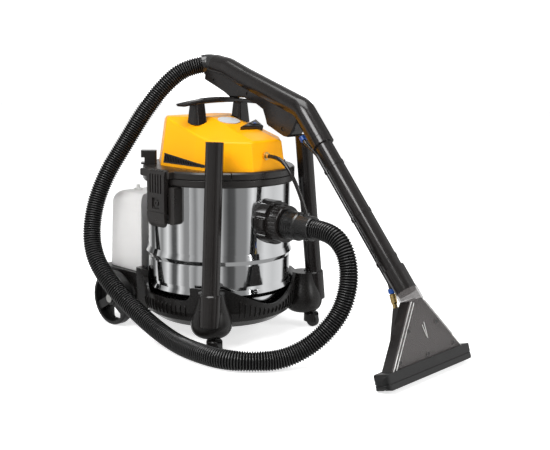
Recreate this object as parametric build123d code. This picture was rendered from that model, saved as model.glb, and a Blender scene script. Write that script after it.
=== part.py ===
from build123d import *
import math
import os

# Spot extractor: wet pick-up vacuum with a solution tank, a spray wand and two spare wand tubes.
# Millimetres, +Z up. The model is drawn with the steel tank's axis at X = Y = 0 on the floor, the
# suction inlet facing -Y and the solution tank at +Y. The last section moves everything, so that
# the origin is the middle of the machine's footprint, without its hoses.

# ---------------------------------------------------------------- driving dimensions
WALL = 3.0                 # moulded wall
GAP = 0.3                  # between pieces that don't touch
RUN = 0.05                 # radial running clearance

TANK_R = 150.0             # steel tank, outside
TANK_T = 1.0
TANK_BOTTOM = 50.0
TANK_TOP = 329.0
BEAD_TOP = 174.0
BEAD_LOW = 105.0

RING_R = 158.0             # rim ring and lid ring, outside
RIM_BOTTOM = 321.0
SEAM = 336.0               # joint between the tank's rim and the head
LID_TOP = 351.0

COVER_HALF_X = 108.0
COVER_FRONT = 145.0
COVER_REAR = 128.0
COVER_TOP = 450.0
COVER_TAPER = 8.0          # degrees, draft of the cover's sides

CARRY_Z = 478.0            # carry handle, underside of the bar
CARRY_HALF = 108.0
POST_X = 61.0

BASE_BOTTOM = 36.0
BASE_R = 164.0
BASE_WALL_TOP = 122.0
LOBE = (135.0, -122.0)
LOBE_R = 41.0

TUBE_R = 17.5              # spare wand tubes and the wand's own tube, outside
TUBE_BORE = 15.9
SPARE_FOOT = (155.6, -139.3, 60.0)
SPARE_LEAN = (-0.083, 0.050, 1.0)
SPARE_TOP = 413.0
SPARE_SOCKET_R = 20.5      # thick lower end of the tube
SPARE_SOCKET_L = 62.0

CASTER = (143.0, -136.0)
CASTER_R = 15.0
CASTER_W = 11.0
CASTER_TRAIL = 7.0
CASTER_TOP = 32.0

WHEEL_R = 58.0
WHEEL_W = 22.0
WHEEL_IN = 139.0           # inner face of a rear wheel
AXLE_Y = 170.0
AXLE_R = 5.0

DECK_TOP = 119.0
DECK_HALF = 133.0
DECK_REAR = 238.0

SOLUTION_HALF = 122.0
SOLUTION_REAR = 243.0
SOLUTION_TOP = 281.0
SOLUTION_DRAFT = 2.0
SOLUTION_FACE_R = 163.5

INLET_Z = 249.0
HOSE_R = 19.0              # suction hose, over its ribs
CUFF_END_Y = -265.0
THIN_R = 4.0               # solution hose

HOSE_ROUTE = [
    (0, -265, 249), (0, -303, 249), (2, -336, 228), (1, -353, 188), (-6, -357, 142), (-23, -349, 94),
    (-62, -325, 47), (-112, -294, 20), (-164, -259, 20), (-192, -212, 20), (-197, -152, 20),
    (-190, -84, 20), (-188, -14, 36), (-194, 58, 71), (-204, 122, 116), (-206, 168, 170),
    (-188, 189, 240), (-155, 190, 316), (-108, 176, 388), (-68, 159, 456), (-27, 138, 513),
    (12, 117, 547.2), (38, 92, 553.3),
]
THIN_ROUTE = [
    (-8, -152, 380), (-8, -176, 380), (-7, -200, 364), (-5, -218, 337), (-2, -233, 306), (0, -244, 276),
]

WAND_X = 50.0
WAND_JOINT = (-232.0, 418.0)       # (y, z) on the wand tube's axis, at the handle
HANDLE_END = (62.0, 553.0)         # (y, z) rear end of the handle's pipe
TRIGGER_PIN = (-64.0, 485.0)       # (y, z)
WAND_NECK = (-462.0, 137.0)        # (y, z) where the tube's sleeve meets the fan head
FAN_END = (-502.0, 4.0)            # (y, z) middle of the suction mouth
FAN_HALF_TOP = 19.0
FAN_HALF_MOUTH = 131.0

LATCH_X = 172.0
LATCH_HALF = 26.0

parts = {}
cords = set()


# ---------------------------------------------------------------- small helpers
def block(x0, x1, y0, y1, z0, z1, radius=0.0, edges=Axis.Z):
    """Box from its limits, with the edges along one axis rounded."""
    solid = Box(x1 - x0, y1 - y0, z1 - z0)
    if radius:
        solid = fillet(solid.edges().filter_by(edges), radius)
    return Pos((x0 + x1) / 2, (y0 + y1) / 2, (z0 + z1) / 2) * solid


def rod(start, end, radius):
    """Round bar between two points."""
    a, b = Vector(*start), Vector(*end)
    plane = Plane(origin=a, z_dir=(b - a).normalized())
    return plane * Cylinder(radius, (b - a).length, align=(Align.CENTER, Align.CENTER, Align.MIN))


def pipe(start, end, outside, inside):
    """Open tube between two points."""
    a, b = Vector(*start), Vector(*end)
    over = (b - a).normalized() * 1.0
    return rod(a, b, outside) - rod(a - over, b + over, inside)


def revolved(points):
    """Solid of revolution about Z from (radius, height) points."""
    return revolve(Plane.XZ * make_face(Polyline(*points, close=True)), axis=Axis.Z)


def side_profile(points, x0, x1):
    """Outline in (y, z), extruded from x0 to x1."""
    plane = Plane(origin=(x0, 0, 0), x_dir=(0, 1, 0), z_dir=(1, 0, 0))
    return extrude(plane * make_face(Polyline(*points, close=True)), x1 - x0)


def mirrored(shape):
    return mirror(shape, about=Plane.YZ)


def arc_radii(route):
    """Arc at each inner corner of a hose: 0.45 of the shorter run over tan(half the turn)."""
    points = [Vector(*p) for p in route]
    radii = []
    for before, corner, after in zip(points, points[1:], points[2:]):
        first, second = corner - before, after - corner
        turn = math.radians(first.get_angle(second))
        radii.append(0.45 * min(first.length, second.length) / math.tan(turn / 2))
    return radii


def hose(name, route, radius):
    """Free hose: straight runs joined by tangent arcs, as one round bar of its outside size."""
    radii = arc_radii(route)
    path = FilletPolyline(*route, radius=radii)
    section = Plane(origin=path @ 0, z_dir=path % 0) * Circle(radius)
    solid = sweep(section, path=path)
    print(name, "length", round(path.length, 1), "radii", [round(r) for r in radii])
    print(name, "volume over section times length", solid.volume / (math.pi * radius**2 * path.length))
    parts[name] = solid
    cords.add(name)


# ---------------------------------------------------------------- base dolly and running gear
def spare_point(side, z):
    """Point on a spare tube's axis at height z."""
    up = z - SPARE_FOOT[2]
    return (side * (SPARE_FOOT[0] + SPARE_LEAN[0] * up), SPARE_FOOT[1] + SPARE_LEAN[1] * up, z)


def make_base():
    bowl = revolved([
        (0, BASE_BOTTOM), (132, BASE_BOTTOM), (154, BASE_BOTTOM + 16), (BASE_R - 3, 70),
        (BASE_R, BASE_WALL_TOP), (BASE_R - 6, BASE_WALL_TOP), (BASE_R - 7, 74), (150, 58),
        (129, 44), (0, 44),
    ])
    # the wall dips at the front and along each side
    lip = Spline((-112, 126), (-84, 112), (-44, 93), (0, 81), (44, 93), (84, 112), (112, 126))
    dip = Plane.XZ * make_face(lip + Polyline((112, 126), (112, 160), (-112, 160), (-112, 126)))
    bowl -= Pos(0, -100, 0) * extrude(dip, 90)
    bowl -= block(-190, 190, -72, 54, 94, 160, radius=18, edges=Axis.X)
    bowl -= block(-190, 190, 100, 190, 90, 160)

    # each lobe is a bell: widest below its middle, narrow round the tube above, bowl-like below
    low = BASE_BOTTOM - 2
    flank = Spline((26, low), (LOBE_R - 3, 45), (LOBE_R, 60), (LOBE_R - 4, 78), (30, 98), (26, 120))
    bell = flank + Polyline((26, 120), (0, 120), (0, low), (26, low))
    lobe = Pos(*LOBE, 0) * revolve(Plane.XZ * make_face(bell), axis=Axis.Z)
    lobes = lobe + mirrored(lobe)

    deck = block(-DECK_HALF, DECK_HALF, 70, DECK_REAR, BASE_BOTTOM + 6, DECK_TOP - 0.5, radius=22)
    deck += block(-DECK_HALF - 14, DECK_HALF + 14, 52, 104, BASE_BOTTOM + 14, 136, radius=12)
    deck -= block(-DECK_HALF + 5, DECK_HALF - 5, 75, DECK_REAR - 6, 0, DECK_TOP - 4, radius=18)
    bosses = rod((-WHEEL_IN + GAP, AXLE_Y, WHEEL_R), (-DECK_HALF + 16, AXLE_Y, WHEEL_R), 13)
    deck += bosses + mirrored(bosses)
    # ribs under the deck
    for x in (-60, 0, 60):
        deck += block(x - 1.5, x + 1.5, 120, DECK_REAR - 3, BASE_BOTTOM + 8, DECK_TOP - 2)

    well = Cylinder(BASE_R - 6.8, 200)
    tank_space = Pos(0, 0, 44 + 100) * well
    solid = bowl + (lobes - tank_space) + (deck - tank_space)
    solid -= block(-DECK_HALF - 20, DECK_HALF + 20, 100, 300, DECK_TOP, 160)

    # sockets for the spare tubes: a bore, open towards the outer front corner above its rim
    for side in (-1, 1):
        foot, top = spare_point(side, SPARE_FOOT[2] - GAP), spare_point(side, 150)
        solid -= rod(foot, top, SPARE_SOCKET_R + 0.4)
        mouth = Pos(side * 168, -154, 122) * Rot(0, 0, side * 42) * Box(26, 60, 60)
        solid -= mouth
        stem = Pos(side * CASTER[0], CASTER[1], 0)
        solid -= stem * Cylinder(4 + RUN, 50.5, align=(Align.CENTER, Align.CENTER, Align.MIN))
    solid -= rod((-200, AXLE_Y, WHEEL_R), (200, AXLE_Y, WHEEL_R), AXLE_R)
    parts["base_dolly"] = solid


def make_casters():
    for side, word in ((-1, "left"), (1, "right")):
        at = Pos(side * CASTER[0], CASTER[1], 0)
        wheel_at = (0, -CASTER_TRAIL, CASTER_R)
        hood = Pos(0, -3, 0) * Cylinder(16, CASTER_TOP - 12, align=(Align.CENTER, Align.CENTER, Align.MIN))
        hood = fillet(hood.edges().group_by(Axis.Z)[-1], 5)
        hood = Pos(0, 0, 12) * hood
        hood -= block(-CASTER_W / 2 - 0.6, CASTER_W / 2 + 0.6, -40, 40, 0, CASTER_R * 2 + 0.2)
        hood &= rod((-30, *wheel_at[1:]), (30, *wheel_at[1:]), 19.5) + Pos(0, 0, 28) * Box(60, 60, 8)
        fork = hood + Pos(0, 0, CASTER_TOP - 2) * Cylinder(
            4, 20, align=(Align.CENTER, Align.CENTER, Align.MIN))
        fork += rod((-13, *wheel_at[1:]), (13, *wheel_at[1:]), 2.5)
        parts[f"caster_fork_{word}"] = at * fork

        half = CASTER_W / 2
        disc = rod((-half, *wheel_at[1:]), (half, *wheel_at[1:]), CASTER_R)
        disc = fillet(disc.edges().filter_by(GeomType.CIRCLE), 2)
        disc -= rod((-half - 1, *wheel_at[1:]), (half + 1, *wheel_at[1:]), 2.5 + RUN)
        parts[f"caster_wheel_{word}"] = at * disc


def make_rear_wheels():
    centre = (AXLE_Y, WHEEL_R)
    inner, outer = WHEEL_IN + GAP, WHEEL_IN + WHEEL_W
    wheel = rod((inner, *centre), (outer, *centre), WHEEL_R)
    wheel = fillet(wheel.edges().filter_by(GeomType.CIRCLE), 4)
    wheel -= rod((inner + 5, *centre), (outer + 5, *centre), WHEEL_R - 8)
    window = Pos(0, AXLE_Y, WHEEL_R) * block(inner - 5, outer + 5, -13, 13, 19, WHEEL_R - 11, radius=5,
                                             edges=Axis.X)
    for turn in (60, 180, 300):
        about = Pos(0, AXLE_Y, WHEEL_R) * Rot(turn, 0, 0) * Pos(0, -AXLE_Y, -WHEEL_R)
        wheel -= about * window
    wheel += rod((inner, *centre), (outer - 1, *centre), 15)
    for turn in (0, 120, 240):
        about = Pos(0, AXLE_Y, WHEEL_R) * Rot(turn, 0, 0)
        spoke = about * block(inner + 2, outer - 3, -9, 9, 10, WHEEL_R - 6)
        wheel += spoke
    wheel -= rod((inner - 1, *centre), (outer + 1, *centre), AXLE_R + RUN)
    parts["rear_wheel_right"] = wheel
    parts["rear_wheel_left"] = mirrored(wheel)

    axle = rod((-outer - 1.5, *centre), (outer + 1.5, *centre), AXLE_R)
    cap = rod((outer + GAP, *centre), (outer + 3, *centre), 9)
    parts["rear_axle"] = axle + cap + mirrored(cap)


def make_spare_tubes():
    for side, word in ((-1, "left"), (1, "right")):
        foot, top = Vector(*spare_point(side, SPARE_FOOT[2])), Vector(*spare_point(side, SPARE_TOP))
        lean = (top - foot).normalized()
        tube = rod(foot, top, TUBE_R)
        collar = rod(foot, foot + lean * SPARE_SOCKET_L, SPARE_SOCKET_R)
        collar = chamfer(collar.edges().filter_by(GeomType.CIRCLE).sort_by(Axis.Z)[-1], 2.5)
        tube += collar
        tube -= rod(foot - lean, top + lean, TUBE_BORE)
        tube -= rod(foot - lean, foot + lean * (SPARE_SOCKET_L - 8), TUBE_R + 0.3)
        parts[f"spare_tube_{word}"] = tube


# ---------------------------------------------------------------- steel tank, rings and inlet
def make_tank():
    outside = [
        (112, TANK_BOTTOM), (132, TANK_BOTTOM + 5), (143, TANK_BOTTOM + 17), (146.5, TANK_BOTTOM + 34),
        (147.5, BEAD_LOW - 9), (153, BEAD_LOW), (149.5, BEAD_LOW + 9), (TANK_R, BEAD_LOW + 16),
        (TANK_R, BEAD_TOP - 12), (149, BEAD_TOP - 9), (154, BEAD_TOP), (TANK_R, BEAD_TOP + 12),
        (TANK_R, TANK_TOP),
    ]
    inside = [(r - TANK_T, z + (TANK_T if z < TANK_BOTTOM + 10 else 0)) for r, z in reversed(outside)]
    wall = [(0, TANK_BOTTOM)] + outside + inside + [(0, TANK_BOTTOM + TANK_T)]
    tank = revolved(wall)
    tank -= rod((0, -TANK_R - 20, INLET_Z), (0, -100, INLET_Z), 24)
    parts["steel_tank"] = tank

    rim_in = TANK_R + 0.0
    ring = revolved([
        (rim_in, RIM_BOTTOM), (RING_R - 2, RIM_BOTTOM), (RING_R, RIM_BOTTOM + 3), (RING_R, SEAM - 1.2),
        (RING_R - 1, SEAM - 0.4), (TANK_R - 7, SEAM - 0.4), (TANK_R - 7, TANK_TOP), (rim_in, TANK_TOP),
    ])
    parts["tank_rim_ring"] = ring

    gasket = revolved([(TANK_R - 6, SEAM - 0.4), (TANK_R - 1, SEAM - 0.4), (TANK_R - 1, SEAM + 1.6),
                       (TANK_R - 6, SEAM + 1.6)])
    parts["tank_gasket"] = gasket


def make_inlet():
    def ring(y0, y1, outside, inside):
        return rod((0, y0, INLET_Z), (0, y1, INLET_Z), outside) - rod(
            (0, y0 + 1, INLET_Z), (0, y1 - 1, INLET_Z), inside)

    # flange with eight lobes, clamped on the tank wall
    flange = ring(-146, -170, 44, 20)
    for i in range(8):
        angle = math.radians(45 * i + 22.5)
        x, z = 46 * math.cos(angle), INLET_Z + 46 * math.sin(angle)
        flange -= rod((x, -140, z), (x, -175, z), 7)
    flange -= Cylinder(TANK_R, 800)
    flange += ring(-128, -160, 23.8, 20)
    flange += ring(-170, -182, 27, 20)
    parts["inlet_flange"] = flange

    nut = ring(-170.4, -198, 37, 27 + RUN)
    nut = fillet(nut.edges().filter_by(GeomType.CIRCLE).sort_by(Axis.Y)[0], 2)
    for i in range(30):
        angle = math.radians(12 * i)
        x, z = 38 * math.cos(angle), INLET_Z + 38 * math.sin(angle)
        nut -= rod((x, -174, z), (x, -195, z), 2)
    parts["coupling_nut"] = nut

    # the cuff's ribbed sleeve, then a ring, then a smooth socket for the hose
    plane = Plane(origin=(0, -182.4, INLET_Z), x_dir=(1, 0, 0), z_dir=(0, -1, 0))
    length = -182.4 - CUFF_END_Y
    outline = [(17, 0), (26.8, 0), (26.8, 16.5)]
    for i in range(6):
        r, s = 29.4 - 0.3 * i, 17.4 + 4.4 * i
        outline += [(r, s), (r, s + 2.4), (r - 1.6, s + 2.9), (r - 1.6, s + 4)]
    outline += [(28.4, 44.5), (28.4, 48), (25.4, 49.5), (23.8, length - 2), (22.6, length), (17, length)]
    cuff = plane * revolve(Plane.XZ * make_face(Polyline(*outline, close=True)), axis=Axis.Z)
    # gland where the solution hose goes inside the cuff
    before, end = Vector(*THIN_ROUTE[-2]), Vector(*THIN_ROUTE[-1])
    gland = rod(end, end + (end - before).normalized() * 20, 7)
    parts["hose_cuff"] = cuff + (gland - rod((0, -200, INLET_Z), (0, -300, INLET_Z), 17))

    elbow = rod((0, -138, INLET_Z), (0, -108, INLET_Z), 19.8) + rod((0, -108, INLET_Z), (0, -108, 205), 19.8)
    elbow += Pos(0, -108, INLET_Z) * Sphere(19.8)
    elbow -= rod((0, -150, INLET_Z), (0, -108, INLET_Z), 17.5) + rod((0, -108, INLET_Z), (0, -108, 190), 17.5)
    elbow -= Pos(0, -108, INLET_Z) * Sphere(17.5)
    parts["inlet_deflector"] = elbow


# ---------------------------------------------------------------- head: lid ring, cover and fittings
def cover_solid(inset, bottom):
    """Faceted cover, its sides drafted and its top sloping to the front and the front corners."""
    fx, fy, ry = COVER_HALF_X - inset, COVER_FRONT - inset, COVER_REAR - inset
    plan = [(-46, -fy), (46, -fy), (fx - 4, -84), (fx, -40), (fx, 60), (56, ry), (-56, ry), (-fx, 60),
            (-fx, -40), (-fx + 4, -84)]
    body = extrude(Pos(0, 0, bottom) * make_face(Polyline(*plan, close=True)), 125, taper=COVER_TAPER)
    top = COVER_TOP - inset
    body -= Pos(0, 0, top + 50) * Box(400, 400, 100)
    slopes = [((0, -5, top), (0, -0.296, 0.955)), ((0, 84, top), (0, 0.2, 0.98))]
    for side in (-1, 1):
        slopes.append(((side * 95, 64, top), (side * 0.27, -0.268, 0.925)))
    for point, normal in slopes:
        body -= Plane(origin=point, z_dir=normal) * Pos(0, 0, 60) * Box(600, 600, 120)
    return body


def vent_outline(grow):
    """(y, z) outline of a side vent: tall at the rear, low at the front."""
    low, front, rear = 357 - grow, -72 - grow, 52 + grow
    return [(front, low), (rear, low), (rear, 377 + grow), (front, 362 + grow)]


def make_head():
    ring = revolved([(RING_R - 1, SEAM + 0.4), (RING_R, SEAM + 1.2), (RING_R, LID_TOP - 3),
                     (RING_R - 3, LID_TOP), (88, LID_TOP), (88, LID_TOP - 4), (RING_R - 12, LID_TOP - 4),
                     (RING_R - 15, SEAM + 1.6), (TANK_R - 1, SEAM + 1.6), (TANK_R - 1, SEAM + 0.4)])
    for angle in (-169, -124.6, -55.4, -11):   # drain notches
        ring -= Rot(0, 0, angle) * block(RING_R - 3, RING_R + 3, -1.1, 1.1, SEAM + 2, LID_TOP + 3)
    for side in (-1, 1):   # room for the latch hubs
        ring -= block(side * 161 - 9, side * 161 + 9, -LATCH_HALF - 0.5, LATCH_HALF + 0.5, SEAM, 360)
    ears = block(-167, -150, LATCH_HALF + 0.8, 53, SEAM + 0.4, LID_TOP, radius=4, edges=Axis.X)
    ears += block(-167, -150, -LATCH_HALF - 9, -LATCH_HALF - 0.8, SEAM + 0.4, LID_TOP, radius=3, edges=Axis.X)
    pin = rod((-LATCH_X + 11, -LATCH_HALF - 4, 346), (-LATCH_X + 11, LATCH_HALF + 4, 346), 2.5)
    parts["lid_ring"] = ring + ears + pin + mirrored(ears + pin)

    cover = cover_solid(0, LID_TOP)
    cover = fillet(cover.edges().filter_by(lambda e: e.center().Z > LID_TOP + 2), 6)
    cover -= cover_solid(WALL, LID_TOP - 1)
    for side in (-1, 1):
        cut = side_profile(vent_outline(0.2), -130, -60)
        cover -= cut if side < 0 else mirrored(cut)
    cover -= slope_plane(22, -70) * Pos(9, 0, 0) * Box(25.4, 13.6, 40)
    cover -= rod((-8, -160, 380), (-8, -120, 380), 6.2)
    cover -= rod((0, 100, 385), (0, 160, 385), 9.2)
    for x in (-POST_X, POST_X):
        for y in (-9, 9):
            cover -= rod((x, y, 430), (x, y, 470), 2.2)
    parts["motor_cover"] = cover

    slats = side_profile(vent_outline(0), -112, -98)
    inner = side_profile(vent_outline(-2.5), -140, -90)
    grille = slats - inner
    for i in range(24):
        y = -69 + 5.1 * i
        grille += side_profile(vent_outline(-1), -108, -100) & block(-108, -100, y, y + 2.0, 350, 385)
    shape = cover_solid(-0.2, LID_TOP) - cover_solid(6, LID_TOP - 1)
    grille &= shape
    parts["vent_grilles"] = Compound(list(grille.solids()) + list(mirrored(grille).solids()))


def slope_plane(x, y):
    """Plane on the cover's front slope, Z out of the cover."""
    return Plane(origin=(x, y, COVER_TOP - 0.31 * (-5 - y)), x_dir=(1, 0, 0), z_dir=(0, -0.296, 0.955))


def make_head_fittings():
    skin = cover_solid(-0.25, LID_TOP - 1)

    arch = Plane.XZ * make_face(
        ThreePointArc((-CARRY_HALF, CARRY_Z), (0, CARRY_Z + 11), (CARRY_HALF, CARRY_Z))
        + Line((CARRY_HALF, CARRY_Z), (CARRY_HALF - 4, CARRY_Z - 5))
        + ThreePointArc((CARRY_HALF - 4, CARRY_Z - 5), (0, CARRY_Z + 1), (-CARRY_HALF + 4, CARRY_Z - 5))
        + Line((-CARRY_HALF + 4, CARRY_Z - 5), (-CARRY_HALF, CARRY_Z)))
    bar = Pos(0, 12, 0) * extrude(arch, 24)
    bar = chamfer(bar.edges().filter_by(lambda e: e.length > 150), 2.2)
    handle = bar
    for x in (-POST_X, POST_X):
        post = extrude(Pos(x, 0, 436) * RectangleRounded(34, 32, 8), 41.5, taper=7)
        handle += post
    handle -= skin
    for x in (-POST_X, POST_X):
        for y in (-9, 9):
            handle -= rod((x, y, 430), (x, y, 463), 1.6)
    parts["carry_handle"] = handle

    plate = extrude(Ellipse(27, 18.5), 1.4)
    parts["label_plate"] = slope_plane(0, -29) * Pos(0, 0, 0.2) * plate

    face = slope_plane(22, -70)
    outline = Polyline((-38, -8), (24, -12), (38, 26), close=True)
    bezel = extrude(Pos(0, 0, -12) * make_face(outline), 20)
    bezel = face * fillet(bezel.edges().group_by(Axis.Z)[-1], 2.5)
    bezel -= skin
    bezel += face * Pos(9, 0, -7) * Box(24.8, 13, 18)
    bezel -= face * Pos(9, 0, 2) * Box(21.6, 12.2, 20)
    parts["switch_bezel"] = bezel
    rocker = fillet(Box(21, 10.6, 9).edges().filter_by(Axis.X), 1.2)
    parts["switch_rocker"] = face * Pos(9, 0, 5.2) * rocker

    # each hook is a wide head on a stem, and the mains cord is wound below the heads
    turned = Pos(-110, 95, LID_TOP + 0.3) * Rot(0, 0, -41)
    hook = turned * block(-16, 16, -12, 12, 0, 28, radius=3)
    hook -= turned * block(-20, -9, -20, 20, 3, 14)
    hook -= skin
    parts["cord_hooks"] = Compound([hook, mirrored(hook)])

    y0 = -COVER_FRONT + 4.4
    coupler = rod((-8, y0 + 12, 380), (-8, THIN_ROUTE[0][1], 380), 5)
    coupler += rod((-8, y0 - 1.8, 380), (-8, y0 - 5, 380), 8)
    coupler += rod((-8, y0 - 1.8, 380), (-8, y0 + 8, 380), 6)
    parts["brass_coupler"] = coupler

    gland = rod((0, 106, 385), (0, 136, 385), 9) + rod((0, 125.8, 385), (0, 129.8, 385), 13)
    gland -= rod((0, 100, 385), (0, 140, 385), 4.2)
    parts["power_gland"] = gland


def head_screws():
    """Screws that hold the carry handle, from inside the cover."""
    for x in (-POST_X, POST_X):
        for y in (-9, 9):
            # the cover's top slopes here, so the front pair of screws sits lower
            under = COVER_TOP - WALL - (0.27 * (POST_X - 95) - 0.268 * (y - 64)) / 0.925 - 1.8
            yield rod((x, y, under - 1), (x, y, 462), 1.55) + rod((x, y, under - 3.6), (x, y, under), 3.4)


# ---------------------------------------------------------------- inside the head
MOTOR_Y = 6.0


def make_inside():
    def disc(z0, z1, outside, inside=0.0):
        solid = rod((0, MOTOR_Y, z0), (0, MOTOR_Y, z1), outside)
        return solid - rod((0, MOTOR_Y, z0 - 1), (0, MOTOR_Y, z1 + 1), inside) if inside else solid

    plate = rod((0, 0, 338.4), (0, 0, 342), 142)
    for i in range(12):
        angle = math.radians(30 * i)
        x, y = 18 * math.cos(angle), MOTOR_Y + 18 * math.sin(angle)
        plate -= rod((x, y, 330), (x, y, 350), 3.6)
    parts["motor_plate"] = plate

    housing = disc(342.4, 361, 68) - disc(345.4, 358, 64) - disc(340, 350, 27) - disc(350, 362, AXLE_R + 1)
    parts["fan_housing"] = housing

    rotor = disc(344.4, 424, AXLE_R) + disc(346.4, 349, 60) + disc(354, 356.6, 60) + disc(366, 404, 29)
    for i in range(8):
        about = Pos(0, MOTOR_Y, 0) * Rot(0, 0, 45 * i)
        rotor += about * block(12, 59, -1, 1, 348, 355)
    parts["motor_rotor"] = rotor

    motor = disc(361.4, 426, 52) - disc(362.5, 420, 31) - disc(419, 430, AXLE_R + RUN) - disc(360, 364, 20)
    parts["motor_housing"] = motor

    cage = disc(262, 338, 31) - disc(265, 339, 27.5)
    for i in range(6):
        about = Pos(0, MOTOR_Y, 0) * Rot(0, 0, 60 * i)
        cage -= about * block(20, 40, -7, 7, 272, 318, radius=0)
    parts["float_cage"] = cage
    parts["float_ball"] = Pos(0, MOTOR_Y, 286.5) * Sphere(20)
    parts["foam_filter"] = disc(268, 336, 42, 31.5)

    pump = block(-34, 34, 78, 110, LID_TOP + 0.4, 374, radius=6) + rod((0, 92, 374), (0, 92, 392), 9)
    parts["solution_pump"] = pump


# ---------------------------------------------------------------- latches and keepers
def make_latches():
    hub_x, hub_z = LATCH_X - 11, 346
    outline = [
        (hub_x - 6, hub_z - 5), (hub_x - 5, hub_z + 4), (hub_x + 1, hub_z + 6.5), (LATCH_X - 3, hub_z + 4),
        (LATCH_X, hub_z - 4), (LATCH_X, 262), (LATCH_X - 1.5, 246), (LATCH_X - 5, 238.5), (LATCH_X - 9, 240),
        (LATCH_X - 8, 256), (LATCH_X - 8.5, 300), (LATCH_X - 10.5, 312), (153.5, 314), (152.5, 319.5),
        (159.4, 320.4), (160.6, 324), (160.6, 336),
    ]
    plane = Plane(origin=(0, LATCH_HALF, 0), x_dir=(1, 0, 0), z_dir=(0, -1, 0))
    latch = extrude(plane * make_face(Polyline(*outline, close=True)), 2 * LATCH_HALF)
    latch &= block(100, 200, -LATCH_HALF, LATCH_HALF, 236, 380, radius=16, edges=Axis.X)
    # fins that run over the top, a square recess with a screw boss, and a paddle
    for i in range(5):
        y = -16 + 8 * i
        latch -= block(LATCH_X - 3, LATCH_X + 5, y - 1.7, y + 1.7, 306, 344)
        latch -= block(LATCH_X - 7, LATCH_X + 5, y - 1.7, y + 1.7, 349, 360)
    latch -= block(LATCH_X - 3.4, LATCH_X + 5, -11, 11, 275, 297, radius=2, edges=Axis.X)
    latch += rod((LATCH_X - 4, 0, 286), (LATCH_X - 1, 0, 286), 6) - rod(
        (LATCH_X - 2.6, 0, 286), (LATCH_X, 0, 286), 2.5)
    latch -= block(LATCH_X - 1.2, LATCH_X + 5, -LATCH_HALF, LATCH_HALF, 268, 270)
    latch -= rod((hub_x, -60, hub_z), (hub_x, 60, hub_z), 2.5 + RUN)
    parts["latch_right"] = latch
    parts["latch_left"] = mirrored(latch)

    keeper = block(140, 163, -46, -29, 246, RIM_BOTTOM - 0.4, radius=6, edges=Axis.X)
    keeper = keeper + block(140, 156, -46, 18, 262, 300, radius=4, edges=Axis.X)
    keeper -= Cylinder(TANK_R + 0.2, 900)
    parts["latch_keepers"] = Compound([mirrored(keeper), keeper])


# ---------------------------------------------------------------- solution tank
def make_solution_tank():
    low = DECK_TOP + GAP

    def shell(inset):
        plan = Pos(0, SOLUTION_REAR / 2) * Rectangle(2 * (SOLUTION_HALF - inset), SOLUTION_REAR - 2 * inset)
        plan = fillet(plan.vertices(), 44 - inset)
        body = Pos(0, 0, low + inset) * extrude(plan, SOLUTION_TOP - low - 2 * inset, taper=SOLUTION_DRAFT)
        body = fillet(body.edges().group_by(Axis.Z)[-1], 26 - inset)
        return body - Cylinder(SOLUTION_FACE_R + inset, 900)

    neck = (66, 195)
    tank = shell(0)
    tank += rod((*neck, SOLUTION_TOP - 8), (*neck, SOLUTION_TOP + 14), 21)
    tank -= shell(2.5)
    tank -= rod((*neck, SOLUTION_TOP - 9), (*neck, SOLUTION_TOP + 20), 18)
    tank -= rod((-60, 195, SOLUTION_TOP - 8), (-60, 195, SOLUTION_TOP + 5), 4.2)
    parts["solution_tank"] = tank

    cap = rod((*neck, SOLUTION_TOP + 0.4), (*neck, SOLUTION_TOP + 17), 26)
    cap = fillet(cap.edges().filter_by(GeomType.CIRCLE).sort_by(Axis.Z)[-1], 2.5)
    for i in range(24):
        angle = math.radians(15 * i)
        x, y = neck[0] + 27 * math.cos(angle), neck[1] + 27 * math.sin(angle)
        cap -= rod((x, y, SOLUTION_TOP - 1), (x, y, SOLUTION_TOP + 13), 1.8)
    cap -= rod((*neck, SOLUTION_TOP), (*neck, SOLUTION_TOP + 14.3), 21.3)
    parts["solution_cap"] = cap

    pickup = rod((-60, 195, low + 8), (-60, 195, SOLUTION_TOP + 12), 4) + rod(
        (-60, 195, SOLUTION_TOP + 0.2), (-60, 195, SOLUTION_TOP + 4), 9)
    pickup += rod((-60, 195, low + 4), (-60, 195, low + 14), 8)
    pickup -= rod((-60, 195, low), (-60, 195, SOLUTION_TOP + 20), 2.5)
    parts["pickup_tube"] = pickup


# ---------------------------------------------------------------- wand
ALONG = Vector(0, WAND_NECK[0] - WAND_JOINT[0], WAND_NECK[1] - WAND_JOINT[1])
WAND_LENGTH = ALONG.length
DOWN = ALONG.normalized()
UNDER = Vector(0, -DOWN.Z, DOWN.Y)       # square to the tube, on its underside


def on_wand(along, under=0.0):
    """Point measured down the wand tube from its joint, and out from its underside."""
    point = Vector(WAND_X, *WAND_JOINT) + DOWN * along + UNDER * under
    return (point.X, point.Y, point.Z)


def cuff_corner():
    """Where the hose's last run meets the wand's middle plane."""
    before, end = Vector(*HOSE_ROUTE[-2]), Vector(*HOSE_ROUTE[-1])
    point = end + (end - before) * ((WAND_X - end.X) / (end.X - before.X))
    return (point.X, point.Y, point.Z)


def wand_sweep(radius, points, radii):
    path = FilletPolyline(*[(WAND_X, y, z) for y, z in points], radius=radii)
    return sweep(Plane(origin=path @ 0, z_dir=path % 0) * Circle(radius), path=path)


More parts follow.
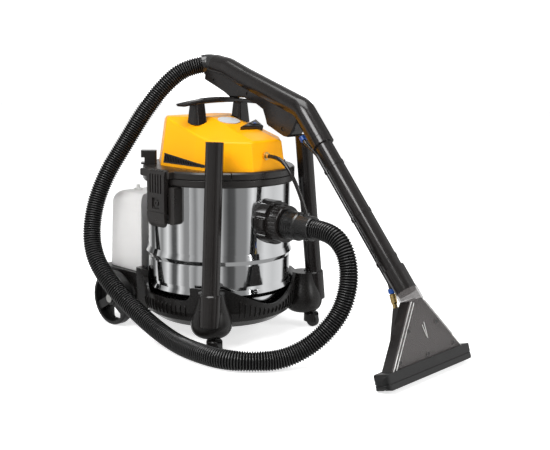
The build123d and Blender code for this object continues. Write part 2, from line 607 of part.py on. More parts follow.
def make_wand():
    line = [HANDLE_END, (26, 547), (-24, 528), (-187.5, 472), WAND_JOINT]
    radii = [60, 90, 40]
    upper = wand_sweep(22.5, line, radii)
    lower_outline = [
        (82, 523), (57, 513), (23, 499), (4, 488.4), (-40, 488.4), (-75, 477), (-92, 468), (-99, 452),
        (-104, 438), (-134, 424), (-151, 417), (-162, 416), (-172, 422), (-182, 440), (-196, 466),
        (-150, 486), (-61, 514), (20, 545), (78, 548),
    ]
    lower = side_profile(lower_outline, WAND_X - 18, WAND_X + 18)
    cheeks = lower.faces().sort_by(Axis.X)
    lower = chamfer(cheeks[0].outer_wire().edges() + cheeks[-1].outer_wire().edges(), 2.5)
    body = upper + lower
    body -= wand_sweep(17.5, [(74, 555)] + line[1:-1] + [on_wand(2)[1:]], radii)
    # the hose's angled cuff, which fills the rear end of the handle's pipe
    path = FilletPolyline((WAND_X, HANDLE_END[0] + 0.3, HANDLE_END[1] + 0.05), cuff_corner(), HOSE_ROUTE[-1],
                          radius=[22])
    start = Plane(origin=path @ 0, z_dir=path % 0)
    parts["wand_cuff"] = sweep(start * Circle(21), path=path) - sweep(start * Circle(16.5), path=path)
    body -= sweep(start * Circle(21.4), path=path)
    # room for the trigger and the valve
    body -= side_profile([(-54.5, 478), (-54.5, 492), (-70, 492), (-90, 484.8), (-119, 474), (-119, 440),
                          (-110, 427), (-86, 432), (-86, 464)], WAND_X - 7.2, WAND_X + 7.2)
    body -= rod((WAND_X, -106, 446), (WAND_X, -164, 446), 9.3)
    for y, z in ((50, 521), (-50, 497), (-150, 432)):
        body -= rod((WAND_X - 30, y, z), (WAND_X + 12, y, z), 2.1)
        body -= rod((WAND_X - 40, y, z), (WAND_X - 13, y, z), 4.2)
    body -= rod((WAND_X - 15.2, *TRIGGER_PIN), (WAND_X + 15.2, *TRIGGER_PIN), 2.5)
    cut = Pos(WAND_X + 100, 0, 500) * Box(200, 900, 900)
    parts["wand_handle_right"] = body & cut
    parts["wand_handle_left"] = body - cut

    screws = list(head_screws())
    for y, z in ((50, 521), (-50, 497), (-150, 432)):
        screws.append(rod((WAND_X - 13, y, z), (WAND_X + 10, y, z), 2) + rod(
            (WAND_X - 16, y, z), (WAND_X - 13.1, y, z), 4))
    for x, s in TOOL_SCREWS:
        screws.append(TOOL * (rod((x, -8, s), (x, 11, s), 1.9) + rod((x, 11, s), (x, 13, s), 3.4)))
    parts["screws"] = Compound(screws)
    parts["trigger_pin"] = rod((WAND_X - 15, *TRIGGER_PIN), (WAND_X + 15, *TRIGGER_PIN), 2.5)

    trigger = side_profile([(-58, 483.5), (-66, 478.5), (-88, 469), (-94.5, 453), (-100, 433), (-106, 435),
                            (-103, 455), (-98, 470), (-84, 481), (-68, 490), (-58, 490)],
                           WAND_X - 6.6, WAND_X + 6.6)
    trigger -= rod((0, *TRIGGER_PIN), (100, *TRIGGER_PIN), 2.5 + RUN)
    parts["trigger"] = trigger

    valve = rod((WAND_X, -124, 446), (WAND_X, -163.7, 446), 9)
    parts["spray_valve"] = valve - rod((WAND_X, -120, 446), (WAND_X, -145, 446), 2.5 + RUN)
    parts["valve_stem"] = rod((WAND_X, -106.5, 446), (WAND_X, -134, 446), 2.5)

    parts["wand_tube"] = pipe(on_wand(3), on_wand(WAND_LENGTH - 14), TUBE_R, TUBE_BORE) + pipe(
        on_wand(0.3), on_wand(16), 22.4, TUBE_BORE)
    parts["tool_sleeve"] = pipe(on_wand(WAND_LENGTH - 68), on_wand(WAND_LENGTH - 20), 20.6, TUBE_R + RUN)

    path = FilletPolyline(*LINE_POINTS, radius=[20, 20, 16])
    parts["solution_line"] = sweep(Plane(origin=path @ 0, z_dir=path % 0) * Circle(THIN_R), path=path)

    clips = []
    for along in (60, 170, 270):
        clip = rod(on_wand(along), on_wand(along + 7), TUBE_R + 1) + rod(
            on_wand(along, 25), on_wand(along + 7, 25), THIN_R + 1.4)
        clip += rod(on_wand(along + 3.5, 16), on_wand(along + 3.5, 22), 2.8)
        clip -= rod(on_wand(along - 1), on_wand(along + 8), TUBE_R + RUN)
        clip -= rod(on_wand(along - 1, 25), on_wand(along + 8, 25), THIN_R + RUN)
        clips.append(clip)
    parts["line_clips"] = Compound(clips)


LINE_POINTS = [on_wand(-30, 37), on_wand(-12, 35), on_wand(22, 25), on_wand(WAND_LENGTH - 50, 25),
               on_wand(WAND_LENGTH - 30, 32)]


# ---------------------------------------------------------------- floor tool
FAN_DIR = Vector(0, FAN_END[0] - WAND_NECK[0], FAN_END[1] - WAND_NECK[1]).normalized()
TOOL = Plane(origin=(WAND_X, *WAND_NECK), x_dir=(1, 0, 0), z_dir=(FAN_DIR.X, FAN_DIR.Y, FAN_DIR.Z))
FAN_LENGTH = 133.0
STRIP_END = 137.8
TOOL_SCREWS = [(-84, 98), (0, 101), (84, 98), (-44, 50), (44, 50)]


def fan(top, mouth, z0, z1, y0, y1):
    """Trapezoid in the tool's own frame: Z down the tool, Y towards its window."""
    face = Plane.XZ * make_face(Polyline((-top, z0), (top, z0), (mouth, z1), (-mouth, z1), close=True))
    return Pos(0, y1, 0) * extrude(face, y1 - y0)


def fan_half(s):
    return FAN_HALF_TOP + (FAN_HALF_MOUTH - FAN_HALF_TOP) * s / FAN_LENGTH


def make_tool():
    body = fan(FAN_HALF_TOP, FAN_HALF_MOUTH, 0, FAN_LENGTH, -13, 9)
    body -= fan(FAN_HALF_TOP - 3, FAN_HALF_MOUTH - 3, -0.1, FAN_LENGTH + 0.1, -10, 10)
    for x, s in TOOL_SCREWS:
        body += rod((x, -12, s), (x, 9, s), 4.5)
        body -= rod((x, -8.5, s), (x, 10, s), 2)
    parts["tool_body"] = TOOL * body

    window = fan(FAN_HALF_TOP, FAN_HALF_MOUTH, 0, FAN_LENGTH, 9.2, 12)
    for side in (-1, 1):
        rib = fan(1.2, 1.2, 6, FAN_LENGTH - 26, 11, 14.5)
        lean = math.degrees(math.atan2(FAN_HALF_MOUTH - FAN_HALF_TOP, FAN_LENGTH))
        window += Pos(side * (FAN_HALF_TOP - 3), 0, 0) * Rot(0, side * lean, 0) * rib
    for x, s in TOOL_SCREWS:
        window += rod((x, 9.2, s), (x, 13.4, s), 5)
        window -= rod((x, 9, s), (x, 12, s), 2) + rod((x, 10.8, s), (x, 14, s), 3.7)
    window = TOOL * window
    collar = pipe(on_wand(WAND_LENGTH - 19.6), on_wand(WAND_LENGTH - 2), 22, 18.2)
    collar += pipe(on_wand(WAND_LENGTH - 19.6), on_wand(WAND_LENGTH + 6), 22, 18.2) - (
        TOOL * Pos(0, -100.2, 50) * Box(200, 200, 200)) - (TOOL * Pos(0, 0, 103) * Box(200, 200, 200))
    parts["tool_window"] = window + (collar - TOOL * Pos(0, 0, 100) * Box(200, 200, 200))

    side = [(9, 13.4), (9, 31), (60, 36), (100, 36), (112, 32), (112, 13.4)]
    inner = [(12, 16), (12, 28), (60, 33), (98, 33), (116, 29), (116, 16)]

    def back(points, top, mouth):
        profile = Plane(origin=(-90, 0, 0), x_dir=(0, -1, 0), z_dir=(1, 0, 0))
        solid = extrude(profile * make_face(Polyline(*[(n, -s) for s, n in points], close=True)), 180)
        return solid & fan(top, mouth, -5, 125, -40, -5)

    parts["spray_hood"] = TOOL * (back(side, 15, 62) - back(inner, 12, 59))

    before, end = Vector(*LINE_POINTS[-2]), Vector(*LINE_POINTS[-1])
    run = (end - before).normalized()
    tip = end + run * 15
    nozzle = rod(end, tip, 6) + Pos(*tip) * Sphere(6) + rod(tip, tip + FAN_DIR * 18, 4.5)
    parts["spray_nozzle"] = nozzle

    end = FAN_HALF_MOUTH + 6
    strip = block(-end, end, -17, 16, 108, STRIP_END, radius=13, edges=Axis.Y)
    strip &= block(-end, end, -17, 16, 100, STRIP_END + 10, radius=12)
    strip -= block(-end - 5, end + 5, -22, 21, 125, 127) - block(
        -end + 1.4, end - 1.4, -15.6, 14.6, 120, 130, radius=11)
    strip -= block(-end - 5, end + 5, -4, 4, STRIP_END - 4, STRIP_END + 1)
    strip -= fan(fan_half(100) + 0.4, FAN_HALF_MOUTH + 0.4, 100, FAN_LENGTH + 0.3, -13.4, 12.4)
    strip -= Pos(0, 0, 105) * block(-fan_half(108) - 4, fan_half(108) + 4, -16, 15, -5, 5)
    strip -= block(-FAN_HALF_MOUTH + 10, FAN_HALF_MOUTH - 10, -5, 5, FAN_LENGTH - 1, STRIP_END + 1)
    strip -= back(side, 15.5, 62.5)
    parts["mouth_strip"] = TOOL * strip


# ---------------------------------------------------------------- whole machine
make_base()
make_casters()
make_rear_wheels()
make_spare_tubes()
make_tank()
make_inlet()
make_head()
make_head_fittings()
make_inside()
make_latches()
make_solution_tank()
make_wand()
make_tool()
hose("suction_hose", HOSE_ROUTE, HOSE_R)
hose("solution_hose", THIN_ROUTE, THIN_R)

low = [min(getattr(s.bounding_box().min, k) for n, s in parts.items() if n not in cords) for k in "XYZ"]
high = [max(getattr(s.bounding_box().max, k) for n, s in parts.items() if n not in cords) for k in "XYZ"]
centre = [(a + b) / 2 for a, b in zip(low, high)]
print("footprint middle, from the tank's axis", [round(c, 3) for c in centre[:2]], "lowest", low[2])

os.makedirs("parts", exist_ok=True)
for name, shape in parts.items():
    export_step(Pos(-centre[0], -centre[1], 0) * shape, f"parts/{name}.step")
print(len(parts), "nodes")
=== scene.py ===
import math

import bmesh
import bpy
from mathutils import Matrix, Vector


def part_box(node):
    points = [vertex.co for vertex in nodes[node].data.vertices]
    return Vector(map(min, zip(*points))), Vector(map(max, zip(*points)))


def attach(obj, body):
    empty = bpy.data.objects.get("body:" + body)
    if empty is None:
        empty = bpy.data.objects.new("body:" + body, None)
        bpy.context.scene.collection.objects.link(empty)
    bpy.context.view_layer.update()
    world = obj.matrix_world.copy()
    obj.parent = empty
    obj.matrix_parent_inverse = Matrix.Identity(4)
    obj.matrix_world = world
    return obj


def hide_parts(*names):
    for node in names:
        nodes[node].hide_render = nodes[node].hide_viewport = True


# Looks for the spot extractor. Metres, +Z up, in the CAD frame.
# Places are written from the steel tank's axis on the floor, as in the CAD source.
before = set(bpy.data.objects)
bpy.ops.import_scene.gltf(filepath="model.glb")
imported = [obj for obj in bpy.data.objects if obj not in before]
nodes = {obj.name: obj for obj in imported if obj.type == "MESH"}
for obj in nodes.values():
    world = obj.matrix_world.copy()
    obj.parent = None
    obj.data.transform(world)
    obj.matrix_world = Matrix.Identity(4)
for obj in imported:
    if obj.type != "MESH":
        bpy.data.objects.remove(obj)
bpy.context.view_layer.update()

scene = bpy.context.scene
tank_low, tank_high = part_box("steel_tank")
AXIS = Vector(((tank_low[0] + tank_high[0]) / 2, (tank_low[1] + tank_high[1]) / 2, 0))


def at(x, y, z):
    """Point given from the tank's axis, in the CAD frame."""
    return Vector((x, y, z)) + AXIS


# ------------------------------------------------------------------ materials
class Surface:
    """A principled material with small helpers for its procedural detail."""

    def __init__(self, name, color, rough, **sockets):
        self.material = bpy.data.materials.new(name)
        self.material.use_nodes = True
        self.tree = self.material.node_tree
        self.shader = self.tree.nodes["Principled BSDF"]
        self.color, self.rough = color, rough
        self.shader.inputs["Base Color"].default_value = (*color, 1)
        self.shader.inputs["Roughness"].default_value = rough
        for key, value in sockets.items():
            self.shader.inputs[key.replace("_", " ")].default_value = value
        self.place = self.add("ShaderNodeTexCoord").outputs["Object"]
        self.height = None

    def add(self, kind, **inputs):
        node = self.tree.nodes.new(kind)
        for key, value in inputs.items():
            socket = node.inputs[key]
            if isinstance(value, bpy.types.NodeSocket):
                self.tree.links.new(value, socket)
            else:
                socket.default_value = value
        return node

    def math(self, operation, a, b=0.0, c=0.0):
        node = self.add("ShaderNodeMath")
        node.operation = operation
        for socket, value in zip(node.inputs, (a, b, c)):
            if isinstance(value, bpy.types.NodeSocket):
                self.tree.links.new(value, socket)
            else:
                socket.default_value = value
        return node.outputs[0]

    def noise(self, scale, detail=3.0, stretch=(1, 1, 1)):
        mapped = self.add("ShaderNodeMapping", Vector=self.place, Scale=stretch)
        noise = self.add("ShaderNodeTexNoise", Vector=mapped.outputs[0], Scale=scale, Detail=detail)
        return noise.outputs["Fac"]

    def remap(self, value, low, high, start=0.35, end=0.65):
        node = self.add("ShaderNodeMapRange", Value=value)
        node.inputs["From Min"].default_value, node.inputs["From Max"].default_value = start, end
        node.inputs["To Min"].default_value, node.inputs["To Max"].default_value = low, high
        return node.outputs[0]

    def vary_color(self, value, other):
        mix = self.add("ShaderNodeMix")
        mix.data_type = "RGBA"
        mix.inputs[6].default_value = (*self.color, 1)
        mix.inputs[7].default_value = (*other, 1)
        self.tree.links.new(value, mix.inputs[0])
        self.tree.links.new(mix.outputs[2], self.shader.inputs["Base Color"])

    def vary_rough(self, value, low, high):
        self.tree.links.new(self.remap(value, low, high), self.shader.inputs["Roughness"])

    def round_edges(self, radius):
        """Softens sharp edges in the shading."""
        self.height = self.add("ShaderNodeBevel", Radius=radius).outputs[0]
        self.tree.links.new(self.height, self.shader.inputs["Normal"])

    def bump(self, value, depth):
        """Bump of that depth in metres, on top of what is there."""
        node = self.add("ShaderNodeBump", Height=value, Strength=1.0, Distance=depth)
        if self.height:
            self.tree.links.new(self.height, node.inputs["Normal"])
        self.height = node.outputs[0]
        self.tree.links.new(self.height, self.shader.inputs["Normal"])


def moulded(name, color, rough, grain=0.00003, scale=2600, light=1.5, edge=0.0008, **sockets):
    """Moulded plastic: fine texture, slight flow marks and uneven gloss."""
    s = Surface(name, color, rough, **sockets)
    fine, broad = s.noise(scale, 2), s.noise(22, 4)
    s.vary_color(s.remap(broad, 0, 0.5), tuple(min(1, c * light) for c in color))
    s.vary_rough(s.noise(30, 2), rough - 0.03, rough + 0.04)
    s.round_edges(edge)
    s.bump(fine, grain)
    return s.material


def steel(name, color, rough, brushed=(1, 1, 1), depth=0.000004):
    s = Surface(name, color, rough, Metallic=1.0)
    s.vary_rough(s.noise(60, 4, (1, 1, 6)), rough, rough * 1.8 + 0.02)
    s.bump(s.noise(900, 2, brushed), depth)
    s.bump(s.noise(9, 2), 0.0006)
    return s.material


BLACK = moulded("base_plastic", (0.0075, 0.0068, 0.0064), 0.27, grain=0.000002, Specular_IOR_Level=0.38)
RING = moulded("ring_plastic", (0.011, 0.0095, 0.0088), 0.3, grain=0.000002, Specular_IOR_Level=0.55)
TUBE = moulded("tube_plastic", (0.0085, 0.0072, 0.0068), 0.2, grain=0.000001, Specular_IOR_Level=0.52)
YELLOW = moulded("yellow_plastic", (0.97, 0.40, 0.0008), 0.34, grain=0.000004, light=1.05,
                 Specular_IOR_Level=0.22)
HOSE = moulded("hose_vinyl", (0.010, 0.010, 0.010), 0.26, grain=0.000002, edge=0.0002,
               Specular_IOR_Level=0.8)
# the hose vinyl made darker and matte: painted shade in the grooves between the ribs
GROOVE_SHADE = moulded("hose_groove_shade", (0.0015, 0.0015, 0.0015), 0.8, edge=0.0002, Specular_IOR_Level=0.1)
RUBBER = moulded("rubber", (0.006, 0.006, 0.006), 0.36, grain=0.000004, scale=1800, light=1.6)
GREY = moulded("plate_grey", (0.55, 0.56, 0.57), 0.34, grain=0.000008, light=1.1)
WHITE = moulded("white_plastic", (0.8, 0.8, 0.78), 0.4, light=1.02)
BLUE = moulded("blue_plastic", (0.012, 0.06, 0.26), 0.3, grain=0.000002, light=1.3)
FOAM = moulded("foam", (0.03, 0.03, 0.03), 0.95, grain=0.0016, scale=420)
STEEL = steel("polished_steel", (0.80, 0.81, 0.82), 0.045)
ZINC = steel("zinc_plate", (0.62, 0.62, 0.6), 0.24, (1, 1, 30), 0.00002)
OXIDE = steel("black_oxide", (0.09, 0.09, 0.09), 0.3, (1, 1, 1), 0.00001)
BRASS = steel("brass", (0.80, 0.58, 0.24), 0.2, (1, 1, 20), 0.00001)


def milky():
    s = Surface("milky_polyethylene", (0.90, 0.89, 0.88), 0.34, Transmission_Weight=0.35,
                Subsurface_Weight=0.35, Subsurface_Radius=(0.02, 0.02, 0.02))
    s.vary_rough(s.noise(60, 4), 0.28, 0.42)
    s.bump(s.noise(14, 3), 0.0009)
    s.bump(s.noise(1400, 2), 0.00002)
    return s.material


def clear():
    s = Surface("clear_window", (0.13, 0.12, 0.118), 0.1, Alpha=0.45, Specular_IOR_Level=0.5)
    s.vary_rough(s.noise(40, 3), 0.10, 0.16)
    s.bump(s.noise(16, 2), 0.00008)
    return s.material


MILKY, CLEAR = milky(), clear()

FINISH = {
    BLACK: "base_dolly caster_fork_left caster_fork_right inlet_deflector motor_plate solution_pump "
           "solution_cap",
    RING: "latch_keepers tank_rim_ring lid_ring vent_grilles switch_bezel switch_rocker cord_hooks "
          "power_gland latch_left latch_right",
    TUBE: "spare_tube_left spare_tube_right inlet_flange coupling_nut wand_handle_left "
          "wand_handle_right trigger "
          "wand_tube tool_sleeve line_clips tool_body spray_hood carry_handle",
    HOSE: "hose_cuff wand_cuff solution_line",
    RUBBER: "caster_wheel_left caster_wheel_right rear_wheel_left rear_wheel_right tank_gasket mouth_strip",
    YELLOW: "motor_cover",
    GREY: "label_plate",
    WHITE: "float_cage float_ball pickup_tube",
    FOAM: "foam_filter",
    STEEL: "steel_tank",
    ZINC: "rear_axle motor_housing trigger_pin valve_stem fan_housing motor_rotor",
    OXIDE: "screws",
    BRASS: "brass_coupler spray_valve spray_nozzle",
    MILKY: "solution_tank",
    CLEAR: "tool_window",
}


def finish_node(name, material):
    node = nodes[name]
    node.data.materials.clear()
    node.data.materials.append(material)


for material, names in FINISH.items():
    for name in names.split():
        finish_node(name, material)


# ------------------------------------------------------------------ camera, floor and light
def make_camera():
    data = bpy.data.cameras.new("camera")
    data.sensor_width, data.lens = 36, 60.92
    data.clip_start, data.clip_end = 0.05, 100
    camera = bpy.data.objects.new("camera", data)
    scene.collection.objects.link(camera)
    right = Vector((0.68590689, -0.72758092, 0.01255935))
    up = Vector((0.1243781, 0.13422435, 0.98311439))
    back = right.cross(up)
    basis = Matrix((right, up, back)).transposed().to_4x4()
    camera.matrix_world = Matrix.Translation(at(-1.331154, -1.411477, 0.581846)) @ basis
    scene.camera = camera


def plane(name, centre, size, normal, material):
    mesh = bpy.data.meshes.new(name)
    w, h = size[0] / 2, size[1] / 2
    mesh.from_pydata([(-w, -h, 0), (w, -h, 0), (w, h, 0), (-w, h, 0)], [], [(0, 1, 2, 3)])
    mesh.materials.append(material)
    obj = bpy.data.objects.new(name, mesh)
    obj.rotation_mode = "QUATERNION"
    obj.rotation_quaternion = Vector(normal).to_track_quat("Z", "Y")
    obj.location = centre
    scene.collection.objects.link(obj)
    return obj


def unlit(obj, seen_by):
    """Only the named kinds of ray see this object."""
    for kind in ("camera", "diffuse", "glossy", "transmission", "volume_scatter", "shadow"):
        setattr(obj, f"visible_{kind}", kind in seen_by)


# brightness round the studio, as (degrees from +X, strength), seen in polished and glossy surfaces
BANDS = [
    (-180, 0.6), (-170, 0.25), (-164, 0.5), (-136, 0.15), (-130, 0.6), (-126, 0.22), (-119, 0.07),
    (-110, 0.09), (-106, 0.26), (-91, 0.28), (-80, 0.95), (-70, 0.5), (-58, 0.85), (-40, 0.7),
    (-15, 0.85), (-7, 0.1), (8, 0.1), (20, 0.8), (84, 0.95), (95, 0.1), (104, 0.12), (112, 0.9),
    (126, 0.25), (140, 0.95), (150, 0.1), (157, 0.1), (163, 0.9), (172, 0.3),
]


def round_wall(name, radius, height, material, seen_by):
    """Upright cylinder round the whole set."""
    mesh = bmesh.new()
    bmesh.ops.create_cone(mesh, segments=96, radius1=radius, radius2=radius, depth=height, cap_ends=False)
    data = bpy.data.meshes.new(name)
    mesh.to_mesh(data)
    mesh.free()
    data.materials.append(material)
    wall = bpy.data.objects.new(name, data)
    wall.location = at(0, 0, 0.5)
    scene.collection.objects.link(wall)
    unlit(wall, seen_by)


def make_bands():
    s = Surface("studio_bands", (1, 1, 1), 1.0)
    axes = s.add("ShaderNodeSeparateXYZ", Vector=s.place).outputs
    turn = s.math("ARCTAN2", axes[1], axes[0])
    ramp = s.add("ShaderNodeValToRGB", Fac=s.math("MULTIPLY_ADD", turn, 1 / math.tau, 0.5))
    stops = ramp.color_ramp.elements
    while len(stops) < len(BANDS):
        stops.new(0.5)
    for stop, (degrees, bright) in zip(stops, BANDS):
        stop.position = degrees / 360 + 0.5
        stop.color = (bright, bright, bright, 1)
    glow = s.add("ShaderNodeEmission", Color=ramp.outputs[0], Strength=0.95)
    s.tree.links.new(glow.outputs[0], s.tree.nodes["Material Output"].inputs[0])
    return s.material


def make_studio():
    floor = Surface("floor", (0.9, 0.9, 0.9), 0.8, Specular_IOR_Level=0.1, Emission_Strength=0.68,
                    Emission_Color=(1, 1, 1, 1))
    floor.bump(floor.noise(300, 2), 0.00005)
    ground = plane("floor", at(0, 0, -0.0004), (60, 60), (0, 0, 1), floor.material)
    ground.visible_glossy = False

    back = Surface("backdrop", (1, 1, 1), 1.0, Emission_Strength=1.2, Emission_Color=(1, 1, 1, 1))
    round_wall("backdrop", 9, 24, back.material, ("camera", "transmission"))
    round_wall("studio_wall", 2.9, 5, make_bands(), ("glossy",))

    world = bpy.data.worlds.new("world")
    world.use_nodes = True
    world.node_tree.nodes["Background"].inputs[0].default_value = (1, 1, 1, 1)
    world.node_tree.nodes["Background"].inputs[1].default_value = 0.36
    scene.world = world
    scene.view_settings.view_transform = "Standard"

    for name, place, size, power in (
        ("key", (-2.0, -0.6, 1.9), 1.0, 36),
        ("fill", (0.6, -2.3, 1.4), 0.7, 15),
        ("top", (-0.3, -0.2, 2.5), 1.5, 38),
    ):
        light = bpy.data.lights.new(name, "AREA")
        light.size, light.energy = size, power
        obj = bpy.data.objects.new(name, light)
        obj.location = at(*place)
        obj.rotation_mode = "QUATERNION"
        obj.rotation_quaternion = (at(0, 0, 0.25) - obj.location).to_track_quat("-Z", "Y")
        scene.collection.objects.link(obj)


make_camera()
make_studio()


# ------------------------------------------------------------------ hoses
SUCTION_ROUTE = [
    (0, -0.265, 0.249), (0, -0.303, 0.249), (0.002, -0.336, 0.228), (0.001, -0.353, 0.188),
    (-0.006, -0.357, 0.142), (-0.023, -0.349, 0.094), (-0.062, -0.325, 0.047), (-0.112, -0.294, 0.020),
    (-0.164, -0.259, 0.020), (-0.192, -0.212, 0.020), (-0.197, -0.152, 0.020), (-0.190, -0.084, 0.020),
    (-0.188, -0.014, 0.036), (-0.194, 0.058, 0.071), (-0.204, 0.122, 0.116), (-0.206, 0.168, 0.170),
    (-0.188, 0.189, 0.240), (-0.155, 0.190, 0.316), (-0.108, 0.176, 0.388), (-0.068, 0.159, 0.456),
    (-0.027, 0.138, 0.513), (0.012, 0.117, 0.5472), (0.038, 0.092, 0.5533),
]
THIN_ROUTE = [
    (-0.008, -0.152, 0.380), (-0.008, -0.176, 0.380), (-0.007, -0.200, 0.364), (-0.005, -0.218, 0.337),
    (-0.002, -0.233, 0.306), (0, -0.244, 0.276),
]
HOSE_RADIUS = 0.019
RIB_PITCH = 0.0050
RIB_DEPTH = 0.0030
RIB_PROFILE = (0.0, 0.5, 0.86, 1.0, 0.86, 0.5, 0.0, 0.0)     # height along one rib, over its depth
GROOVE_PARTS = (0, 5, 6, 7)                                  # steps of that profile in the groove, which get the painted groove shade
HOSE_SIDES = 36
THIN_RADIUS = 0.004


def nurbs(name, route, radius=0.0):
    """Curve object: one smooth spline with the route's points as control points."""
    curve = bpy.data.curves.new(name, "CURVE")
    curve.dimensions = "3D"
    spline = curve.splines.new("NURBS")
    spline.points.add(len(route) - 1)
    for point, place in zip(spline.points, route):
        point.co = (*at(*place), 1)
    spline.order_u = 3
    spline.use_endpoint_u = True
    curve.resolution_u = 24
    curve.bevel_depth = radius
    curve.bevel_resolution = 6
    curve.use_fill_caps = True
    obj = bpy.data.objects.new(name, curve)
    scene.collection.objects.link(obj)
    return obj


def read_line(route):
    """Points along the route's spline."""
    line = nurbs("line", route)
    line.data.use_fill_caps = False
    mesh = bpy.data.meshes.new_from_object(line)
    points = [v.co.copy() for v in mesh.vertices]
    bpy.data.objects.remove(line)
    bpy.data.meshes.remove(mesh)
    return points


def along(points, step):
    """(place, direction) every step along a line of points."""
    placed, travelled, wanted = [], 0.0, 0.0
    for a, b in zip(points, points[1:]):
        length = (b - a).length
        while wanted <= travelled + length and length > 0:
            placed.append((a.lerp(b, (wanted - travelled) / length), (b - a).normalized()))
            wanted += step
        travelled += length
    placed.append((points[-1], (points[-1] - points[-2]).normalized()))
    return placed


def tube_mesh(name, stations, around):
    """Mesh skinned over (place, direction, radius) stations."""
    mesh = bmesh.new()
    side = stations[0][1].orthogonal().normalized()
    rings, previous = [], stations[0][1]
    for place, direction, radius in stations:
        side = previous.rotation_difference(direction) @ side
        side = (side - direction * side.dot(direction)).normalized()
        other, previous = direction.cross(side), direction
        rings.append([mesh.verts.new(place + radius * (side * math.cos(a) + other * math.sin(a)))
                      for a in (math.tau * i / around for i in range(around))])
    for low, high in zip(rings, rings[1:]):
        for i in range(around):
            mesh.faces.new((low[i], low[(i + 1) % around], high[(i + 1) % around], high[i]))
    mesh.faces.new(list(reversed(rings[0])))
    mesh.faces.new(rings[-1])
    data = bpy.data.meshes.new(name)
    mesh.to_mesh(data)
    mesh.free()
    for face in data.polygons:
        face.use_smooth = True
    obj = bpy.data.objects.new(name, data)
    scene.collection.objects.link(obj)
    return obj


def make_hoses():
    line = read_line(SUCTION_ROUTE)
    length = sum((b - a).length for a, b in zip(line, line[1:]))
    steps = len(RIB_PROFILE)
    placed = along(line, length / (round(length / RIB_PITCH) * steps))
    stations = [(place, direction, HOSE_RADIUS - RIB_DEPTH * (1 - RIB_PROFILE[i % steps]))
                for i, (place, direction) in enumerate(placed)]
    hose = tube_mesh("suction_hose_ribbed", stations, HOSE_SIDES)
    hose.data.materials.append(HOSE)
    # groove faces get the darker matte copy as painted shade; the crowns keep the plain vinyl
    hose.data.materials.append(GROOVE_SHADE)
    for face in hose.data.polygons:
        face.material_index = int(face.index // HOSE_SIDES % steps in GROOVE_PARTS)
    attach(hose, "machine")
    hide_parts("suction_hose")

    thin = nurbs("solution_hose_line", THIN_ROUTE, THIN_RADIUS)
    thin.data.materials.append(TUBE)
    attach(thin, "machine")
    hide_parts("solution_hose")
    points = read_line(THIN_ROUTE)


make_hoses()


# ------------------------------------------------------------------ small pieces that the CAD leaves plain
def piece(name, corners, faces, material, body):
    data = bpy.data.meshes.new(name)
    data.from_pydata(corners, [], faces)
    data.update()
    data.materials.append(material)
    obj = bpy.data.objects.new(name, data)
    scene.collection.objects.link(obj)
    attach(obj, body)
    return obj


def make_base_ribs():
    """Upright ribs on the outside of the base's wall, between the lobes and the deck."""
    corners, faces = [], []
    groups = [range(-118, -61, 4), range(-202, -155, 4), range(-24, 23, 4)]
    for degrees in (a for group in groups for a in group):
        turn = math.radians(degrees)
        out = Vector((math.cos(turn), math.sin(turn), 0))
        side = Vector((-math.sin(turn), math.cos(turn), 0))
        top = 0.088
        if -125 < degrees < -55:        # the dip in the base's front wall
            top = 0.075 + 0.045 * abs(0.164 * out.x / 0.112) ** 1.6
        outline = [(0.0585, 0.154), (0.062, 0.1605), (0.070, 0.1635), (top - 0.006, 0.1645), (top, 0.160)]
        first = len(corners)
        for z, r in outline:
            for across in (-0.0014, 0.0014):
                corners.append(at(*(out * r + side * across)[:2], z))
                corners.append(at(*(out * (r - 0.006) + side * across)[:2], z))
        for k in range(first, first + 4 * (len(outline) - 1), 4):
            faces += [(k, k + 2, k + 6, k + 4), (k + 1, k, k + 4, k + 5), (k + 2, k + 3, k + 7, k + 6),
                      (k + 3, k + 1, k + 5, k + 7)]
        last = first + 4 * (len(outline) - 1)
        faces += [(first, first + 1, first + 3, first + 2), (last, last + 2, last + 3, last + 1)]
    piece("base_wall_ribs", corners, faces, BLACK, "machine")


def ring_piece(name, start, end, inner, outer, material, body, around=32):
    """Short tube between two points."""
    axis = (end - start).normalized()
    side = axis.orthogonal().normalized()
    other = axis.cross(side)
    corners, faces = [], []
    for i in range(around):
        turn = math.tau * i / around
        way = side * math.cos(turn) + other * math.sin(turn)
        corners += [start + way * inner, start + way * outer, end + way * outer, end + way * inner]
        k, n = 4 * i, 4 * ((i + 1) % around)
        faces += [(k + a, n + a, n + (a + 1) % 4, k + (a + 1) % 4) for a in range(4)]
    return piece(name, corners, faces, material, body)


def bars(name, boxes, material):
    """Bars given by both ends, half a width and a height."""
    corners, faces = [], []
    for a, b, half, lift in boxes:
        k = len(corners)
        corners += [p + q for q in (Vector(), lift) for p in (a - half, a + half, b + half, b - half)]
        for face in ((3, 2, 1, 0), (4, 5, 6, 7), (0, 1, 5, 4), (1, 2, 6, 5), (2, 3, 7, 6), (3, 0, 4, 7)):
            faces.append(tuple(k + i for i in face))
    piece(name, corners, faces, material, "machine")


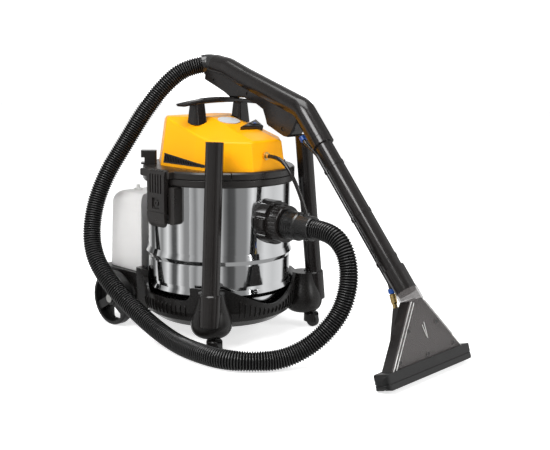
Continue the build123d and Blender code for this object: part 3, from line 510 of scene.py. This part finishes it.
def on_wand(along, under):
    """Point down the wand tube from its joint, and out from its underside."""
    down = Vector((0, -0.23, -0.281)).normalized()
    return at(0.05, -0.232, 0.418) + down * along + Vector((0, -down.z, down.y)) * under


def on_tool(x, out, s):
    """Point on the floor tool: across, out towards its window, and down it."""
    down = Vector((0, -0.040, -0.133)).normalized()
    return at(0.05 + x, -0.462, 0.137) + down * s + Vector((0, down.z, -down.y)) * out


def make_small_pieces():
    ring_piece("line_collar_upper", on_wand(-0.029, 0.0365), on_wand(-0.020, 0.0362), 0.0035, 0.0068, BLUE,
               "machine")
    ring_piece("line_collar_lower", on_wand(0.3235, 0.0282), on_wand(0.3315, 0.0312), 0.0035, 0.0066, BLUE,
               "machine")
    slope = Vector((0, -0.296, 0.955))
    lens = at(0.031, -0.0729, 0.4389)
    ring_piece("switch_lens", lens, lens + slope * 0.0011, 0.0001, 0.0034, BLUE, "switch_rocker")
    # moulded lines on the window, as (across, down) from and to, and half width
    lines = {
        "window_mark_left": ((0.0, 0.047), (0.007, 0.070), 0.0004),
        "window_mark_right": ((0.007, 0.043), (0.009, 0.073), 0.0004),
        "window_edge_left": ((-0.018, 0.001), (-0.1125, 0.114), 0.0009),
        "window_bead_left": ((-0.011, 0.004), (-0.104, 0.114), 0.0007),
        "window_edge_right": ((0.018, 0.001), (0.1125, 0.114), 0.0005),
    }
    out = on_tool(0, 1, 0) - on_tool(0, 0, 0)
    for name, (start, end, half) in lines.items():
        a, b = (on_tool(x, 0.0121, s) for x, s in (start, end))
        bars(name, [(a, b, (b - a).cross(out).normalized() * half, out * 0.0006)], WHITE)

    # ribs across the top of the carry handle's arch
    radius = 0.5357
    ribs = []
    for i in range(-17, 18):
        x = 0.0029 * i
        z = 0.489 - radius + math.sqrt(radius**2 - x**2) - 0.0002
        ribs.append((at(x, -0.0095, z), at(x, 0.0095, z), Vector((0.0007, 0, 0)), Vector((0, 0, 0.0009))))
    bars("carry_grip_ribs", ribs, TUBE)


make_base_ribs()
make_small_pieces()
